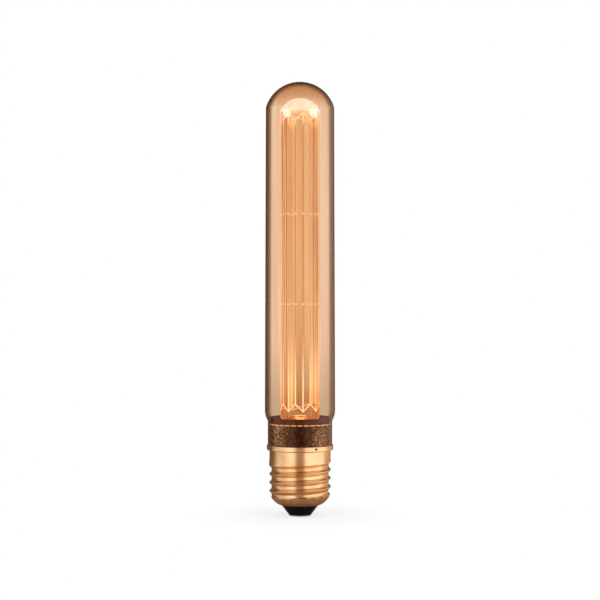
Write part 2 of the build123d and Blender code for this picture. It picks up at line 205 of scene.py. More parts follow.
def turned(name, outline, columns, node, material, press=None, crease=35):
    """Piece turned about the axis. press takes angles, radii and heights, and gives new radii."""
    outline = np.array(outline, float)
    turns = np.linspace(0, TURN, columns, endpoint=False)
    angles, radii = np.meshgrid(turns, outline[:, 0])
    heights = np.repeat(outline[:, 1:], columns, axis=1)
    if press:
        radii = press(angles, radii, heights)
    points = np.stack([radii * np.cos(angles), radii * np.sin(angles), heights], axis=-1)
    rows = len(outline)
    last = rows if outline[0, 0] > 0 else rows - 1
    faces = []
    for i in range(last):
        above = (i + 1) % rows
        for j in range(columns):
            beside = (j + 1) % columns
            corners = (i * columns + j, i * columns + beside)
            faces.append((*corners, above * columns + beside, above * columns + j))
    return add_piece(name, points.reshape(-1, 3), faces, node, material, crease)


# Materials


def colour(code):
    """Linear colour from an sRGB hex code."""
    channels = [int(code[i : i + 2], 16) / 255 for i in (1, 3, 5)]
    linear = [c / 12.92 if c <= 0.04045 else ((c + 0.055) / 1.055) ** 2.4 for c in channels]
    return (*linear, 1.0)


def new_material(name):
    """Material with an empty node tree."""
    material = bpy.data.materials.new(name)
    material.use_nodes = True
    material.node_tree.nodes.clear()
    return material, material.node_tree


def add(tree, kind, inputs=(), **settings):
    """New node with its settings. Inputs are values, or nodes and sockets to link from."""
    made = tree.nodes.new("ShaderNode" + kind)
    for name, value in settings.items():
        setattr(made, name, value)
    for key, value in inputs.items() if isinstance(inputs, dict) else enumerate(inputs):
        if isinstance(value, bpy.types.Node):
            value = next(socket for socket in value.outputs if socket.enabled)
        if isinstance(value, bpy.types.NodeSocket):
            tree.links.new(value, made.inputs[key])
        else:
            made.inputs[key].default_value = value
    return made


def amber_glass():
    """Blown soda-lime glass, dyed: clear amber, and brown where its wall is seen edge on, which is
    partly painted shade.

    The neck is smoky, the thicker glass of the dome is deeper in colour, and a painted dark shade lies
    along the contour, most of all at the corners where the tube meets the dome.
    """
    material, tree = new_material("blown_amber_glass")
    place = add(tree, "TexCoord").outputs["Object"]
    height = add(tree, "SeparateXYZ", (place,)).outputs["Z"]
    drawn = add(tree, "VectorMath", (place, (1.0, 1.0, 0.04)), operation="MULTIPLY")
    lines = {"Vector": drawn, "Scale": 1 / (DRAW_LINES * MM), "Detail": 2.0}
    lines = add(tree, "TexNoise", lines)
    share = add(tree, "MapRange", (lines, 0.4, 0.6))
    tint = {0: share, 6: colour("#FDFBF2"), 7: colour("#F8ECE0")}
    tint = add(tree, "Mix", tint, data_type="RGBA")
    smoke = (height, SMOKE_LOW * MM, SMOKE_TOP * MM, 1.0, 0.0)
    smoke = add(tree, "MapRange", smoke, interpolation_type="SMOOTHSTEP")
    tint = add(tree, "Mix", {0: smoke, 6: tint, 7: colour("#E4DFD0")}, data_type="RGBA")
    dome = (height, DEEP_DOME_LOW * MM, DEEP_DOME_TOP * MM)
    dome = add(tree, "MapRange", dome, interpolation_type="SMOOTHSTEP")
    tint = add(tree, "Mix", {0: dome, 6: tint, 7: colour("#E9D2B6")}, data_type="RGBA")
    # Painted shade, on top of the dye's own darkening: the glass turns brown where its wall is seen edge
    # on, a little later on the dome.
    facing = add(tree, "LayerWeight", {"Blend": 0.5}).outputs["Facing"]
    start = add(tree, "MapRange", (dome, 0.0, 1.0, 0.46, 0.53))
    full = add(tree, "Math", (start, 0.11), operation="ADD")
    edge = add(tree, "MapRange", (facing, start, full), interpolation_type="SMOOTHSTEP")
    brown = {0: dome, 6: colour("#96887E"), 7: colour("#BBA288")}
    brown = add(tree, "Mix", brown, data_type="RGBA")
    tint = add(tree, "Mix", {0: edge, 6: tint, 7: brown}, data_type="RGBA")
    # Painted shade: a dark contour, strongest at the corners where the tube meets the dome.
    from_corner = add(tree, "Math", (height, PAINTED_SHADE_CORNER_Z * MM), operation="SUBTRACT")
    from_corner = add(tree, "Math", (from_corner,), operation="ABSOLUTE")
    painted_corner_shade = (from_corner, 1 * MM, 5 * MM, 1.0, 0.4)
    painted_corner_shade = add(tree, "MapRange", painted_corner_shade, interpolation_type="SMOOTHSTEP")
    painted_contour_shade = add(tree, "MapRange", (facing, 0.68, 0.84), interpolation_type="SMOOTHSTEP")
    painted_contour_shade = add(tree, "Math", (painted_corner_shade, painted_contour_shade), operation="MULTIPLY")
    tint = add(tree, "Mix", {0: painted_contour_shade, 6: tint, 7: colour("#40302A")}, data_type="RGBA")
    ripple = add(tree, "TexNoise", {"Vector": place, "Scale": 1 / (RIPPLES * MM), "Detail": 1.0})
    relief = add(tree, "Bump", {"Height": ripple, "Distance": 0.15 * MM})
    shader = {"Base Color": tint, "Roughness": 0.0, "IOR": 1.52, "Transmission Weight": 1.0}
    shader |= {"Specular IOR Level": 0.2, "Specular Tint": colour("#B08A68"), "Normal": relief}
    shader = add(tree, "BsdfPrincipled", shader)
    shadow = add(tree, "LightPath").outputs["Is Shadow Ray"]
    clear = add(tree, "BsdfTransparent", (colour("#F6DDB8"),))
    surface = add(tree, "MixShader", (shadow, shader, clear))
    dye = add(tree, "VolumeAbsorption", {"Color": colour("#F7B96A"), "Density": 460.0})
    add(tree, "OutputMaterial", {"Surface": surface, "Volume": dye})
    return material


def engraved_acrylic():
    """Cast acrylic rod, dyed: its engraved lines, rim and frosted dome catch the LED's light.

    Light runs up the rod in streaks, so the foot's lines are the brightest. Painted shade darkens the
    sides, with two dark lines at each side where the strands are seen edge on. Painted highlights glow
    as white spots under the dome, and the colours make up for the blue that the amber glass in front
    takes.
    """
    material, tree = new_material("engraved_acrylic")
    place = add(tree, "TexCoord").outputs["Object"]
    split = add(tree, "SeparateXYZ", (place,)).outputs
    height = split["Z"]
    engraved = add(tree, "Attribute", attribute_name="engraved").outputs["Fac"]
    facing = add(tree, "LayerWeight", {"Blend": 0.5}).outputs["Facing"]
    drawn = add(tree, "VectorMath", (place, (1.0, 1.0, 0.016)), operation="MULTIPLY")
    streaks = {"Vector": drawn, "Scale": 1 / (STREAKS * MM), "Detail": 4.0}
    streaks = add(tree, "TexNoise", streaks)
    frosted = (height, (GUIDE_EDGE_Z - 0.4) * MM, (GUIDE_EDGE_Z + 0.4) * MM)
    frosted = add(tree, "MapRange", frosted, interpolation_type="SMOOTHSTEP")

    # Painted shade: the rod darkens towards its sides, with two painted dark lines at each side where
    # the strands are seen edge on. The streaks are the acrylic's own.
    dark = add(tree, "MapRange", (streaks, 0.46, 0.56), interpolation_type="SMOOTHSTEP")
    side = add(tree, "MapRange", (facing, 0.18, 0.36), interpolation_type="SMOOTHSTEP")
    streaks_and_painted_shade = add(tree, "Math", (side, 0.28), operation="ADD", use_clamp=True)
    streaks_and_painted_shade = add(tree, "Math", (dark, streaks_and_painted_shade), operation="MULTIPLY")
    for strand in (0.27, 0.48):
        off_line = add(tree, "Math", (facing, strand), operation="SUBTRACT")
        off_line = add(tree, "Math", (off_line,), operation="ABSOLUTE")
        painted_dark_line = (off_line, 0.012, 0.045, 1.0, 0.0)
        painted_dark_line = add(tree, "MapRange", painted_dark_line, interpolation_type="SMOOTHSTEP")
        streaks_and_painted_shade = add(tree, "Math", (streaks_and_painted_shade, painted_dark_line), operation="MAXIMUM")
    sides = add(tree, "Math", (1.0, frosted), operation="SUBTRACT")
    streaks_and_painted_shade = add(tree, "Math", (streaks_and_painted_shade, sides), operation="MULTIPLY")
    tint = {0: streaks_and_painted_shade, 6: colour("#FFFAF4"), 7: colour("#B4744A")}
    tint = add(tree, "Mix", tint, data_type="RGBA")
    tint = add(tree, "Mix", {0: engraved, 6: tint, 7: colour("#A8683C")}, data_type="RGBA")

    foot = (height, FOOT_GLOW_LOW * MM, FOOT_GLOW_TOP * MM, 1.5, 0.05)
    foot = add(tree, "MapRange", foot, interpolation_type="SMOOTHSTEP")
    head = (height, HEAD_GLOW_LOW * MM, HEAD_GLOW_TOP * MM, 0.0, 0.8)
    head = add(tree, "MapRange", head, interpolation_type="SMOOTHSTEP")
    lines = add(tree, "Math", (foot, head), operation="MAXIMUM")
    for row in STITCH_HEIGHTS:
        off_row = add(tree, "Math", (height, row * MM), operation="SUBTRACT")
        off_row = add(tree, "Math", (off_row,), operation="ABSOLUTE")
        stitches = add(tree, "MapRange", (off_row, 0.3 * MM, 0.6 * MM, 0.5, 0.0))
        lines = add(tree, "Math", (lines, stitches), operation="MAXIMUM")
    lines = add(tree, "Math", (engraved, lines), operation="MULTIPLY")
    rise = add(tree, "MapRange", (height, 46 * MM, 56 * MM, 0.5, 1.0), interpolation_type="SMOOTHSTEP")
    near = (height, FLANK_GLOW_LOW * MM, FLANK_GLOW_TOP * MM, 0.21, 0.27)
    near = add(tree, "MapRange", near, interpolation_type="SMOOTHSTEP")
    streaked = add(tree, "MapRange", (streaks, 0.35, 0.68, 0.4, 1.2))
    body = add(tree, "Math", (rise, near), operation="MULTIPLY")
    body = add(tree, "Math", (body, streaked), operation="MULTIPLY")
    # The glow is dimmed under the painted shade.
    clear_of_painted_shade = add(tree, "MapRange", (streaks_and_painted_shade, 0.0, 1.0, 1.0, 0.45))
    body = add(tree, "Math", (body, clear_of_painted_shade), operation="MULTIPLY")
    low = (height, FLANK_GLOW_LOW * MM, FLANK_GLOW_TOP * MM, 0.11, 0.0)
    low = add(tree, "MapRange", low, interpolation_type="SMOOTHSTEP")
    flanks = add(tree, "MapRange", (facing, 0.07, 0.16), interpolation_type="SMOOTHSTEP")
    flanks = add(tree, "Math", (flanks, low), operation="MULTIPLY")
    rim = add(tree, "MapRange", (facing, 0.62, 0.74, 0.0, 0.55), interpolation_type="SMOOTHSTEP")
    rim = add(tree, "Math", (rim, sides), operation="MULTIPLY")
    dome = add(tree, "Math", (frosted, 0.38), operation="MULTIPLY")
    # Painted highlights: white glowing spots just under the dome, towards the rod's diagonals.
    across = add(tree, "Math", (split["X"], split["Y"]), operation="MULTIPLY")
    across = add(tree, "Math", (across,), operation="ABSOLUTE")
    corners = (across, 25 * MM * MM, 34 * MM * MM)
    corners = add(tree, "MapRange", corners, interpolation_type="SMOOTHSTEP")
    off_ring = add(tree, "Math", (height, PAINTED_HIGHLIGHT_Z * MM), operation="SUBTRACT")
    off_ring = add(tree, "Math", (off_ring,), operation="ABSOLUTE")
    painted_highlight_ring = (off_ring, 0.4 * MM, 2.4 * MM, 0.85, 0.0)
    painted_highlight_ring = add(tree, "MapRange", painted_highlight_ring, interpolation_type="SMOOTHSTEP")
    painted_highlight_spots = add(tree, "Math", (corners, painted_highlight_ring), operation="MULTIPLY")
    glow = add(tree, "Math", (lines, body), operation="ADD")
    for more in (flanks, rim, dome, painted_highlight_spots):
        glow = add(tree, "Math", (glow, more), operation="ADD")
    deep = add(tree, "MapRange", (height, 46 * MM, 60 * MM, 1.0, 0.0), interpolation_type="SMOOTHSTEP")
    hue = add(tree, "Mix", {0: deep, 6: colour("#FFE4C0"), 7: colour("#FF9048")}, data_type="RGBA")
    hue = add(tree, "Mix", {0: engraved, 6: hue, 7: colour("#FFEACC")}, data_type="RGBA")
    white = add(tree, "Math", (frosted, painted_highlight_spots), operation="MAXIMUM")
    hue = add(tree, "Mix", {0: white, 6: hue, 7: colour("#FFF0FC")}, data_type="RGBA")

    mask = add(tree, "Math", (engraved, frosted), operation="MAXIMUM")
    rough = add(tree, "MapRange", (mask, 0.0, 1.0, 0.08, 0.5))
    relief = add(tree, "Bump", {"Height": streaks, "Distance": 0.04 * MM})
    shader = {"Base Color": tint, "Roughness": rough, "IOR": 1.49, "Transmission Weight": 1.0}
    shader |= {"Normal": relief, "Emission Color": hue, "Emission Strength": glow}
    shader = add(tree, "BsdfPrincipled", shader)
    shadow = add(tree, "LightPath").outputs["Is Shadow Ray"]
    clear = add(tree, "BsdfTransparent", (colour("#FFE2C0"),))
    surface = add(tree, "MixShader", (shadow, shader, clear))
    dye = add(tree, "VolumeAbsorption", {"Color": colour("#D6AE28"), "Density": 70.0})
    add(tree, "OutputMaterial", {"Surface": surface, "Volume": dye})
    return material


def gold_sheet():
    """Rolled brass sheet with a warm gold lacquer: soft gloss, faint rolling lines, and painted shade in
    the crimp dents.
    """
    material, tree = new_material("rolled_gold_brass")
    place = add(tree, "TexCoord").outputs["Object"]
    patches = {"Vector": place, "Scale": 1 / (LACQUER_PATCHES * MM), "Detail": 3.0}
    patches = add(tree, "TexNoise", patches)
    share = add(tree, "MapRange", (patches, 0.35, 0.65))
    tint = add(tree, "Mix", {0: share, 6: colour("#FDD2A0"), 7: colour("#F7BE86")}, data_type="RGBA")
    # Painted shade: the crimp dents are darkened.
    painted_crimp_shade = add(tree, "Attribute", attribute_name="painted_crimp_shade").outputs["Fac"]
    tint = add(tree, "Mix", {0: painted_crimp_shade, 6: tint, 7: colour("#3E2212")}, data_type="RGBA")
    rolled = add(tree, "VectorMath", (place, (0.08, 0.08, 1.0)), operation="MULTIPLY")
    lines = {"Vector": rolled, "Scale": 1 / (ROLLING_LINES * MM), "Detail": 3.0}
    lines = add(tree, "TexNoise", lines)
    rough = add(tree, "MapRange", (lines, 0.2, 0.8, 0.17, 0.26))
    relief = add(tree, "Bump", {"Height": lines, "Distance": 0.006 * MM})
    shader = {"Base Color": tint, "Roughness": rough, "Metallic": 1.0, "Normal": relief}
    add(tree, "OutputMaterial", (add(tree, "BsdfPrincipled", shader),))
    return material


def crinkled_bronze():
    """Wrinkle-finished metal in dark bronze, with a bare matt rim lightened and given a faint glow as a
    painted highlight line.

    Its thin folds are worn to bright copper, and a painted sheen makes them shine most where the eye
    looks along the skin.
    """
    material, tree = new_material("crinkled_bronze")
    place = add(tree, "TexCoord").outputs["Object"]
    height = add(tree, "SeparateXYZ", (place,)).outputs["Z"]
    swirl = {"Vector": place, "Scale": 1 / (WRINKLES * MM), "Detail": 2.0, "Distortion": 1.2}
    swirl = add(tree, "TexNoise", swirl)
    off_line = add(tree, "Math", (swirl, 0.5), operation="SUBTRACT")
    off_line = add(tree, "Math", (off_line,), operation="ABSOLUTE")
    wrinkles = (off_line, 0.022, 0.07, 1.0, 0.0)
    wrinkles = add(tree, "MapRange", wrinkles, interpolation_type="SMOOTHSTEP")
    folds = add(tree, "Attribute", attribute_name="folds").outputs["Fac"]
    grain = add(tree, "TexNoise", {"Vector": place, "Scale": 1 / (CUP_GRAIN * MM), "Detail": 3.0})
    kept = add(tree, "MapRange", (grain, 0.4, 0.6), interpolation_type="SMOOTHSTEP")
    folds = add(tree, "Math", (folds, kept), operation="MULTIPLY")
    folds = add(tree, "Math", (folds, 0.35), operation="MULTIPLY")
    worn = add(tree, "Math", (wrinkles, folds), operation="MAXIMUM")
    # Painted sheen: the worn copper is dim face on and brightest where the skin is seen at a slant.
    facing = add(tree, "LayerWeight", {"Blend": 0.5}).outputs["Facing"]
    along = (facing, 0.06, 0.22, 0.1, 1.0)
    along = add(tree, "MapRange", along, interpolation_type="SMOOTHSTEP")
    wear_and_painted_sheen = add(tree, "Math", (worn, along), operation="MULTIPLY")
    tint = {0: wear_and_painted_sheen, 6: colour("#3A1512"), 7: colour("#FFDCC8")}
    tint = add(tree, "Mix", tint, data_type="RGBA")
    # Painted highlight: the rim is a pale band with a faint glow.
    rim = (height, (CUP_TOP - RIM_H - 0.02) * MM, (CUP_TOP - RIM_H + 0.02) * MM)
    rim = add(tree, "MapRange", rim, interpolation_type="SMOOTHSTEP")
    tint = add(tree, "Mix", {0: rim, 6: tint, 7: colour("#FFF0E2")}, data_type="RGBA")
    matt = add(tree, "Math", (wear_and_painted_sheen, 0.6), operation="MULTIPLY")
    matt = add(tree, "Math", (rim, matt), operation="MAXIMUM")
    metallic = add(tree, "MapRange", (matt, 0.0, 1.0, 1.0, 0.2))
    rough = add(tree, "MapRange", (grain, 0.3, 0.7, 0.26, 0.4))
    relief = add(tree, "Bump", {"Height": worn, "Distance": 0.05 * MM})
    painted_rim_glow = add(tree, "Math", (rim, 0.75), operation="MULTIPLY")
    shader = {"Base Color": tint, "Roughness": rough, "Metallic": metallic, "Normal": relief}
    shader |= {"Emission Color": colour("#FFCCB0"), "Emission Strength": painted_rim_glow}
    add(tree, "OutputMaterial", (add(tree, "BsdfPrincipled", shader),))
    return material


def moulded(name, first, second, rough, grain=0.5, depth=0.01, gloss=0.5):
    """Moulded plastic, rubber or ceramic: faintly mottled, with the mould's grain in its gloss."""
    material, tree = new_material(name)
    place = add(tree, "TexCoord").outputs["Object"]
    mottle = add(tree, "TexNoise", {"Vector": place, "Scale": 1 / (MOTTLE * MM), "Detail": 3.0})
    share = add(tree, "MapRange", (mottle, 0.35, 0.65))
    tint = add(tree, "Mix", {0: share, 6: colour(first), 7: colour(second)}, data_type="RGBA")
    texture = add(tree, "TexNoise", {"Vector": place, "Scale": 1 / (grain * MM), "Detail": 3.0})
    rough = add(tree, "MapRange", (texture, 0.2, 0.8, rough, rough + 0.12))
    relief = add(tree, "Bump", {"Height": texture, "Distance": depth * MM})
    shader = {"Base Color": tint, "Roughness": rough, "Specular IOR Level": gloss, "Normal": relief}
    add(tree, "OutputMaterial", (add(tree, "BsdfPrincipled", shader),))
    return material


def plated(name, first, second, rough, scratches=0.4):
    """Plated or bare metal with fine wear in its gloss."""
    material, tree = new_material(name)
    place = add(tree, "TexCoord").outputs["Object"]
    drawn = add(tree, "VectorMath", (place, (1.0, 1.0, 0.3)), operation="MULTIPLY")
    wear = add(tree, "TexNoise", {"Vector": drawn, "Scale": 1 / (scratches * MM), "Detail": 4.0})
    share = add(tree, "MapRange", (wear, 0.3, 0.7))
    tint = add(tree, "Mix", {0: share, 6: colour(first), 7: colour(second)}, data_type="RGBA")
    rough = add(tree, "MapRange", (wear, 0.2, 0.8, rough, rough + 0.15))
    relief = add(tree, "Bump", {"Height": wear, "Distance": 0.004 * MM})
    shader = {"Base Color": tint, "Roughness": rough, "Metallic": 1.0, "Normal": relief}
    add(tree, "OutputMaterial", (add(tree, "BsdfPrincipled", shader),))
    return material


def lit_phosphor():
    """Silicone with yellow phosphor, lit: a warm white disc, grainy at its edge."""
    material, tree = new_material("lit_phosphor")
    place = add(tree, "TexCoord").outputs["Object"]
    grain = add(tree, "TexNoise", {"Vector": place, "Scale": 1 / (0.2 * MM), "Detail": 3.0})
    share = add(tree, "MapRange", (grain, 0.3, 0.7))
    tint = add(tree, "Mix", {0: share, 6: colour("#FFD98C"), 7: colour("#FFF0C8")}, data_type="RGBA")
    relief = add(tree, "Bump", {"Height": grain, "Distance": 0.01 * MM})
    shader = {"Base Color": tint, "Roughness": 0.4, "Normal": relief}
    shader |= {"Emission Color": tint, "Emission Strength": 1.0}
    add(tree, "OutputMaterial", (add(tree, "BsdfPrincipled", shader),))
    return material


# Pieces


def glass_outline(inset):
    """Outer skin of the glass from the neck's end to the top, or its inner skin when inset."""
    neck = NECK_R - inset
    low = TUBE_LOW_R - inset
    top = TUBE_TOP_R - inset
    dome = DOME_R - inset
    edge = DOME_EDGE_R - inset
    convex = SHOULDER_R - inset
    concave = SHOULDER_FOOT_R + inset
    lean = 1 - (low - neck) / (convex + concave)
    turn = math.degrees(math.acos(lean))
    shoulder = NECK_TOP + (convex + concave) * math.sqrt(1 - lean**2)
    dome_z = TOTAL_H - DOME_R
    edge_z = dome_z + math.sqrt((dome - edge) ** 2 - (top - edge) ** 2)
    meet = math.degrees(math.atan2(edge_z - dome_z, top - edge))
    return (
        run((neck, NECK_END), (neck, NECK_TOP), 6)
        + arc((neck + concave, NECK_TOP), concave, 180, 180 - turn, 6)
        + arc((low - convex, shoulder), convex, -turn, 0, 12)
        + run((low, shoulder), (top, edge_z), 40)[1:]
        + arc((top - edge, edge_z), edge, 0, meet, 8)
        + arc((0, dome_z), dome, meet, 90, 64)[1:]
    )


def glass_tube():
    """Blown envelope with its wall."""
    outline = glass_outline(0) + glass_outline(GLASS_T)[::-1]
    return turned("glass_tube", outline, 256, "glass_envelope", amber_glass(), crease=60)


def engraved_lines():
    """Engraved lines on the unrolled rod: (start, end) with angles in radians from the front."""
    step = TURN / STRANDS
    first = math.radians(STRAND_TURN)
    lines = []
    for n in range(STRANDS):
        angle = first + n * step
        odd = n % 2
        foot = WAVE_LOW + WAVE_H * odd
        top = WAVE_TOP - WAVE_H * odd
        next_foot = WAVE_LOW + WAVE_H * (1 - odd)
        next_top = WAVE_TOP - WAVE_H * (1 - odd)
        lines.append(((angle, foot), (angle, top)))
        lines.append(((angle, foot), (angle + step, next_foot)))
        lines.append(((angle, top), (angle + step, next_top)))
        half = STITCH_HALF / GUIDE_R
        lines += [((angle - half, z), (angle + half, z)) for z in STITCH_HEIGHTS]
    return lines


def engraved_depth(angles, heights):
    """Depth of the engraved V-grooves at each point of the rod's side."""
    turns = angles - FRONT
    depth = np.zeros_like(turns)
    for (a0, z0), (a1, z1) in engraved_lines():
        along = np.array([(a1 - a0) * GUIDE_R, z1 - z0])
        away = np.mod(turns - (a0 + a1) / 2 + math.pi, TURN) - math.pi
        x = (away + (a1 - a0) / 2) * GUIDE_R
        share = np.clip((x * along[0] + (heights - z0) * along[1]) / (along @ along), 0, 1)
        distance = np.hypot(x - share * along[0], heights - z0 - share * along[1])
        depth = np.maximum(depth, ENGRAVING_HALF - distance)
    return depth


def press_engraving(angles, radii, heights):
    """Radii of the rod's side with the grooves cut in."""
    side = (radii > GUIDE_R - 0.001) & (heights < GUIDE_EDGE_Z)
    return radii - np.where(side, engraved_depth(angles, heights), 0)


def guide_outline():
    """Rod with a pocket over the LED, a rounded foot and a flattened dome."""
    foot = GUIDE_FOOT_EDGE_R
    edge = GUIDE_DOME_EDGE_R
    shoulder = GUIDE_R - edge
    dome_h = GUIDE_TOP - GUIDE_EDGE_Z
    crown = (shoulder**2 + dome_h**2 - edge**2) / (2 * (dome_h - edge))
    crown_z = GUIDE_TOP - crown
    meet = math.degrees(math.atan2(GUIDE_EDGE_Z - crown_z, shoulder))
    fine = 0.17
    heights = [GUIDE_Z + foot]
    for low, high in ((44.2, 48.4), *((z - 0.5, z + 0.5) for z in STITCH_HEIGHTS), (167.3, 171.5)):
        count = max(2, round((low - heights[-1]) / 2.5))
        heights += list(np.linspace(heights[-1], low, count + 1))[1:]
        heights += list(np.linspace(low, high, round((high - low) / fine) + 1))[1:]
    heights.append(GUIDE_EDGE_Z)
    return (
        cap_arc(POCKET_R, GUIDE_Z + POCKET_H, POCKET_DOME, 8)[::-1]
        + run((POCKET_R, GUIDE_Z + POCKET_H), (POCKET_R, GUIDE_Z), 3)[1:]
        + run((POCKET_R, GUIDE_Z), (GUIDE_R - foot, GUIDE_Z), 4)
        + arc((GUIDE_R - foot, GUIDE_Z + foot), foot, -90, 0, 8)
        + [(GUIDE_R, z) for z in heights[1:]]
        + arc((shoulder, GUIDE_EDGE_Z), edge, 0, meet, 12)[1:]
        + arc((0, crown_z), crown, meet, 90, 12)[1:]
    )


def glowing_rod():
    """Light guide with its engraved lines, whose depth is kept for the material."""
    acrylic = engraved_acrylic()
    rod = turned("glowing_rod", guide_outline(), 320, "light_guide", acrylic, press_engraving, 60)
    points = np.empty(len(rod.data.vertices) * 3, np.float32)
    rod.data.vertices.foreach_get("co", points)
    x, y, z = points.reshape(-1, 3).T / MM
    side = (np.hypot(x, y) > GUIDE_R - ENGRAVING_HALF - 0.02) & (z < GUIDE_EDGE_Z)
    depth = np.where(side, engraved_depth(np.arctan2(y, x), z), 0)
    pocket_roof = (np.hypot(x, y) < LIT_R) & (z < GUIDE_Z + POCKET_H + POCKET_DOME + 0.01)
    share = np.where(pocket_roof, 1, np.clip(1.8 * depth / ENGRAVING_HALF, 0, 1))
    engraved = rod.data.attributes.new("engraved", "FLOAT", "POINT")
    engraved.data.foreach_set("value", share.astype(np.float32))
    return rod


def thread_radius(angles, heights, crest):
    """Radius of the rolled groove under a crest radius: a wide valley between rounded ridges."""
    rise = np.mod(angles, TURN) / TURN * THREAD_PITCH
    low = GROOVE_Z + rise
    depth = np.zeros_like(heights)
    rounding = np.linspace(-RIDGE_ROUNDING, RIDGE_ROUNDING, 7)
    for shift in rounding:
        above = heights + shift - low
        turn = np.clip(np.round(above / THREAD_PITCH), 0, THREAD_TURNS)
        travel = turn + rise / THREAD_PITCH
        away = np.abs(above - turn * THREAD_PITCH) / GROOVE_HALF
        fade = np.clip((THREAD_TURNS + 0.25 - travel) / 0.3, 0, 1)
        fade = fade * fade * (3 - 2 * fade)
        depth += np.clip(1 - away**3, 0, None) * fade
    return crest - depth / len(rounding) * GROOVE_DEPTH


def press_thread(angles, radii, heights):
    """Sheet pressed into the groove where it stands out past it, and dimpled by the crimps."""
    rows = np.arange(len(radii))[:, None]
    inner = rows >= SHELL_OUTER_ROWS
    crest = np.where(inner, THREAD_R - SHEET, THREAD_R)
    groove = thread_radius(angles, heights, crest)
    threaded = heights < BARREL_Z + 0.1
    softened = smooth_min(radii, groove, 0.12)
    radii = np.where(threaded & (groove < crest), np.minimum(radii, softened), radii)
    return np.where(inner, radii, radii - crimp_depth(angles, heights))


def crimp_depth(angles, heights):
    """Depth of the four punched marks that hold the neck in the bead."""
    depth = np.zeros_like(heights)
    for n in range(CRIMPS):
        spot = FRONT + math.radians(CRIMP_TURN) + n * TURN / CRIMPS
        along = (np.mod(angles - spot + math.pi, TURN) - math.pi) * BEAD_R
        away = np.hypot(along / CRIMP_HALF_W, (heights - CRIMP_Z) / CRIMP_HALF_H)
        depth = np.maximum(depth, np.clip(1 - away**2, 0, None) * CRIMP_DEPTH)
    return depth


def smooth_min(first, second, width):
    """Lower of two values with a rounded corner."""
    share = np.clip(0.5 + 0.5 * (second - first) / width, 0, 1)
    return second * (1 - share) + first * share - width * share * (1 - share)


def shell_outline(inset, step):
    """One skin of the shell from the lip up to the mouth."""
    bowl = BOWL_R - inset
    bowl_r = THREAD_R - BOWL_R
    bowl_z = LIP_Z + math.sqrt(BOWL_R**2 - (LIP_R - bowl_r) ** 2)
    start = math.degrees(math.asin((LIP_R - bowl_r) / bowl)) - 90
    thread = THREAD_R - inset
    barrel = BARREL_R - inset
    wide = BEAD_R - inset
    low = BEAD_Z + inset
    bend = 0.5 - inset
    rows = round((BARREL_Z - bowl_z) / step)
    return (
        arc((bowl_r, bowl_z), bowl, start, 0, round(8.0 / step))
        + run((thread, bowl_z), (thread, BARREL_Z), rows)[1:]
        + arc((barrel + 0.3, BARREL_Z + 0.5), 0.3, 150, 180, 2)
        + run((barrel, BARREL_Z + 0.6), (barrel, low - 0.25), 8)
        + arc((barrel + 0.25, low - 0.25), 0.25, 180, 90, 4)
        + arc((wide - bend, low + bend), bend, -90, 0, 5)
        + run((wide, low + bend), (wide, MOUTH_Z - 0.25), 8)[1:]
    )


SHELL_OUTER = shell_outline(0, 0.13) + arc((BEAD_R - 0.25, MOUTH_Z - 0.25), 0.25, 0, 90, 4)
SHELL_OUTER_ROWS = len(SHELL_OUTER)


def screw_shell():
    """Rolled sheet with thread, plain barrel and the bead that holds the neck."""
    inner = shell_outline(SHEET, 0.55) + [(BEAD_R - SHEET, MOUTH_Z)]
    outline = SHELL_OUTER + inner[::-1]
    shell = turned("screw_shell", outline, 280, "cap_shell", gold_sheet(), press_thread, 40)
    points = np.empty(len(shell.data.vertices) * 3, np.float32)
    shell.data.vertices.foreach_get("co", points)
    x, y, z = points.reshape(-1, 3).T / MM
    # How far each point lies in a crimp dent, for the painted shade there.
    share = np.clip(2 * crimp_depth(np.arctan2(y, x), z) / CRIMP_DEPTH, 0, 1)
    painted_crimp_shade = shell.data.attributes.new("painted_crimp_shade", "FLOAT", "POINT")
    painted_crimp_shade.data.foreach_set("value", share.astype(np.float32))
    return shell


def metal_cup():
    """Upside-down cup with a toothed rim. Its skirt has small folds that keep clear of the glass."""
    bore = CUP_R - CUP_WALL
    under = CUP_PLATE_TOP - CUP_PLATE_T
    outline = (
        [(0, CUP_PLATE_TOP), (bore - 0.2, CUP_PLATE_TOP), (bore, CUP_PLATE_TOP), (bore, CUP_TOP - 0.1)]
        + arc((bore + 0.1, CUP_TOP - 0.1), 0.1, 180, 90, 3)
        + arc((CUP_R - 0.22, CUP_TOP - 0.22), 0.22, 90, 0, 6)
        + run((CUP_R, CUP_TOP - 0.3), (CUP_R, CUP_LOW + 0.1), 42)
        + [(CUP_R, CUP_LOW + 0.1), (CUP_R - 0.1, CUP_LOW), (bore, CUP_LOW)]
        + [(bore, under - 0.3), (bore - 0.3, under), (0, under)]
    )
    cup = turned("bronze_cup", outline, 360, "heat_sink", crinkled_bronze(), crease=40)
    folds = cup.data.attributes.new("folds", "FLOAT", "POINT")
    low = CUP_PLATE_TOP + 0.02
    for n, vertex in enumerate(cup.data.vertices):
        x, y, z = vertex.co / MM
        turn = (math.atan2(y, x) / TURN * CUP_TEETH) % 1
        radius = math.hypot(x, y)
        if min(turn, 1 - turn) < TOOTH_GAP / 2 and z > low:
            vertex.co.z = (low + 0.05 * (z - low)) * MM
        elif radius > CUP_R - 0.02 and z < CUP_PLATE_TOP:
            near, next_near = voronoi(vertex.co / (FOLD_SIZE * MM))[0][:2]
            fold = math.exp(-(((next_near - near) / 0.22) ** 2))
            shrink = 1 - FOLD_DEPTH * (1 - fold) / CUP_R
            vertex.co.x *= shrink
            vertex.co.y *= shrink
            folds.data[n].value = fold
    return cup


